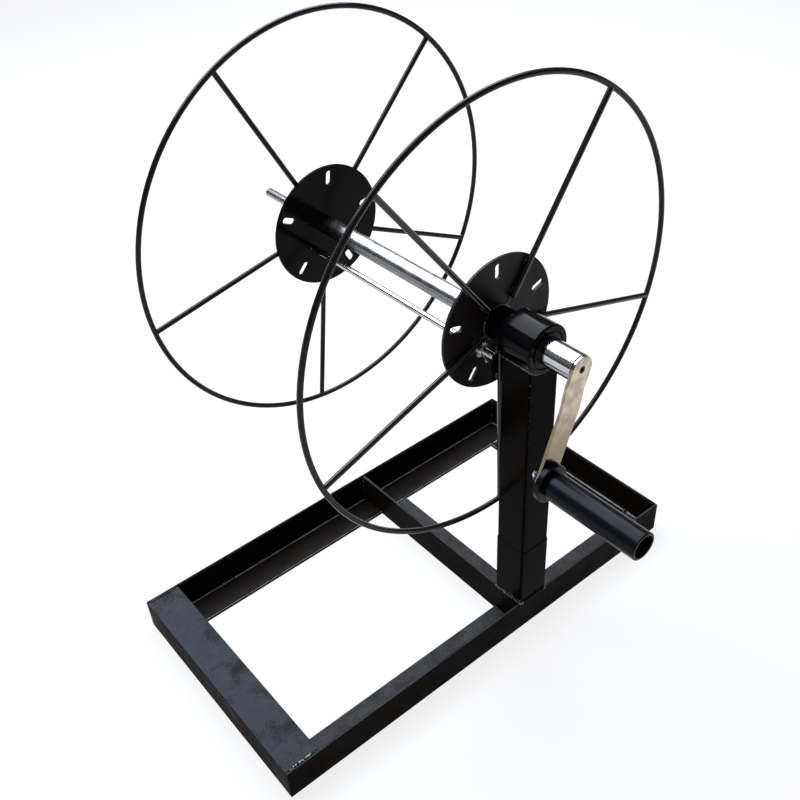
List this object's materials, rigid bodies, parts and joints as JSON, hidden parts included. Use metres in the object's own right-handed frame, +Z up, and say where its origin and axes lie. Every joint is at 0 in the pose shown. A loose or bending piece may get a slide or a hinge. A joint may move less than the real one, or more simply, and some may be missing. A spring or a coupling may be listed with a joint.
{
  "type": "hose reel",
  "caption": "Hand-cranked hose reel: two spoked rod wheels on a chrome core, held by a bearing on a square post over a welded angle-steel floor stand.",
  "frame": {"origin": "on the floor, straight below the crossing of the post's centre line and the reel axis", "axes": "+Z up; +Y back along the reel axis, away from the crank; +X along the base, away from the foot plate"},
  "size_m": [0.4955, 0.5286, 0.5325],
  "materials": {
    "black_paint": "gloss black paint over welded steel",
    "foot_plate_paint": "black paint dulled and scuffed by shoes",
    "chrome": "bright chrome plate",
    "stainless_arm": "polished stainless steel",
    "bright_steel": "bright drawn steel",
    "zinc_steel": "zinc plate",
    "black_oxide": "black oxide",
    "bush_nylon": "satin black nylon",
    "grip_plastic": "satin black plastic"
  },
  "bodies": {
    "stand": {"front_rail": "black_paint", "back_rail": "black_paint", "right_rail": "black_paint", "cross_rail": "black_paint", "foot_plate": "foot_plate_paint", "post_socket": "black_paint", "post": "black_paint", "bearing_housing": "black_paint", "front_bush": "bush_nylon", "rear_bush": "bush_nylon"},
    "reel": {"core_tube": "chrome", "spindle_rod": "bright_steel", "front_plug": "bright_steel", "rear_plug": "bright_steel", "front_thrust_washer": "bush_nylon", "rear_thrust_washer": "bush_nylon", "front_boss": "black_paint", "back_boss": "black_paint", "front_grub_screw": "black_oxide", "back_grub_screw": "black_oxide", "front_plate": "black_paint", "back_plate": "black_paint", "front_rim": "black_paint", "back_rim": "black_paint", "front_spoke_1": "black_paint", "front_spoke_2": "black_paint", "front_spoke_3": "black_paint", "front_spoke_4": "black_paint", "front_spoke_5": "black_paint", "back_spoke_1": "black_paint", "back_spoke_2": "black_paint", "back_spoke_3": "black_paint", "back_spoke_4": "black_paint", "back_spoke_5": "black_paint", "tie_rod": "chrome", "tie_washer_front": "zinc_steel", "tie_nut_front": "black_oxide", "tie_washer_back": "zinc_steel", "tie_nut_back": "black_oxide", "crank_hub": "chrome", "crank_arm": "stainless_arm", "crank_screw": "black_oxide", "grip_bolt": "black_oxide", "grip_nut": "chrome", "grip_washer": "black_oxide"},
    "grip": {"grip": "grip_plastic"}
  },
  "joints": [
    {"name": "crank_turn", "type": "hinge", "parent": "stand", "child": "reel", "pos_m": [0, 0, 0.33], "axis": [0, 1, 0], "continuous": true},
    {"name": "grip_spin", "type": "hinge", "parent": "reel", "child": "grip", "pos_m": [-0.03512, -0.1, 0.23851], "axis": [0, 1, 0], "continuous": true}
  ]
}
